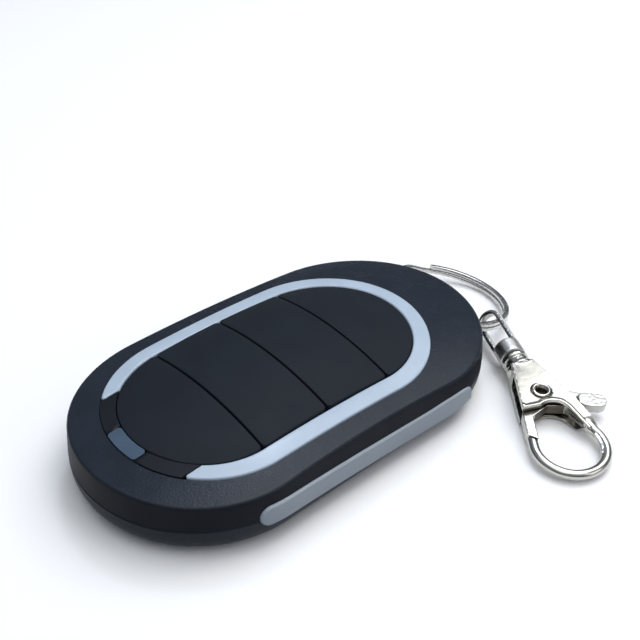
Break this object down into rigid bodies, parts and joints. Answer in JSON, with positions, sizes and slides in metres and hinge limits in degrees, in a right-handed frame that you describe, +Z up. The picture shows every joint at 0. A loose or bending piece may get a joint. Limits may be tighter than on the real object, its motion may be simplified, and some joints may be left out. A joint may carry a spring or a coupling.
{
  "type": "garage door remote with key ring",
  "caption": "Small oval handheld transmitter with a domed keypad in a light trim, an indicator window, a split key ring and a swivel clasp with a spring gate.",
  "frame": {"origin": "on the flat underside of the housing, straight below the centre of the keypad", "axes": "+Z up out of the keypad, +Y along the housing towards the key ring, +X to the right with the indicator end nearest"},
  "size_m": [0.056, 0.0769, 0.0125],
  "materials": {
    "lower_shell": "fine satin moulding, near black",
    "upper_shell": "finely grained charcoal moulding",
    "light_trim": "silver-grey satin paint",
    "bezel": "charcoal satin",
    "window": "tinted translucent moulding",
    "side_strip": "mid grey soft plastic",
    "button": "smooth satin charcoal",
    "switch": "black moulded housing",
    "plunger": "pale moulded plunger",
    "board": "green solder mask",
    "lamp": "milky lens",
    "chip": "black moulded package",
    "steel_can": "drawn steel",
    "cell": "nickel-plated steel",
    "contact": "plated spring strip",
    "screw": "zinc-plated",
    "pin": "ground steel",
    "ring_wire": "bright nickel plating",
    "clasp_metal": "polished nickel plating on casting",
    "spring_steel": "spring steel"
  },
  "bodies": {
    "housing": {"bottom_shell": "lower_shell", "top_shell": "upper_shell", "trim_ring": "light_trim", "led_bezel": "bezel", "led_window": "window", "side_strip_right": "side_strip", "side_strip_left": "side_strip", "tact_switch_1": "switch", "tact_switch_2": "switch", "tact_switch_3": "switch", "tact_switch_4": "switch", "circuit_board": "board", "indicator_led": "lamp", "radio_chip": "chip", "resonator": "steel_can", "coin_cell": "cell", "contact_minus": "contact", "contact_plus": "contact", "housing_screws": "screw", "ring_pin": "pin"},
    "button_1": {"button_1": "button", "switch_plunger_1": "plunger"},
    "button_2": {"button_2": "button", "switch_plunger_2": "plunger"},
    "button_3": {"button_3": "button", "switch_plunger_3": "plunger"},
    "button_4": {"button_4": "button", "switch_plunger_4": "plunger"},
    "ring": {"split_ring": "ring_wire"},
    "eye": {"swivel_eye": "clasp_metal"},
    "clasp": {"clasp_body": "clasp_metal", "clasp_rivet": "clasp_metal", "clasp_spring": "spring_steel"},
    "lever": {"clasp_lever": "clasp_metal"}
  },
  "joints": [
    {"name": "button_1_press", "type": "slide", "parent": "housing", "child": "button_1", "axis": [0, 0, -1], "range_m": [0, 0.0003], "stiffness_N_per_m": 400, "springref_m": -0.003},
    {"name": "button_2_press", "type": "slide", "parent": "housing", "child": "button_2", "axis": [0, 0, -1], "range_m": [0, 0.0003], "stiffness_N_per_m": 400, "springref_m": -0.003},
    {"name": "button_3_press", "type": "slide", "parent": "housing", "child": "button_3", "axis": [0, 0, -1], "range_m": [0, 0.0003], "stiffness_N_per_m": 400, "springref_m": -0.003},
    {"name": "button_4_press", "type": "slide", "parent": "housing", "child": "button_4", "axis": [0, 0, -1], "range_m": [0, 0.0003], "stiffness_N_per_m": 400, "springref_m": -0.003},
    {"name": "ring_swing", "type": "hinge", "parent": "housing", "child": "ring", "pos_m": [0, 0.031, 0.0055], "axis": [0, 0, 1], "range_deg": [-14, 9]},
    {"name": "eye_tilt", "type": "hinge", "parent": "ring", "child": "eye", "pos_m": [0.00811, 0.03738, 0.00356], "axis": [0.0159, 0.9621, -0.2721], "range_deg": [-70, 80]},
    {"name": "clasp_swivel", "type": "hinge", "parent": "eye", "child": "clasp", "pos_m": [0.01725, 0.03352, 0.00277], "axis": [0.9183, -0.3879, -0.0794], "continuous": true},
    {"name": "gate_lever", "type": "hinge", "parent": "clasp", "child": "lever", "pos_m": [0.02312, 0.03104, 0.00226], "axis": [0.0732, -0.0309, 0.9968], "range_deg": [0, 22], "stiffness_Nm_per_rad": 0.004, "springref_deg": -17.19, "deforming": ["clasp_spring"]}
  ]
}
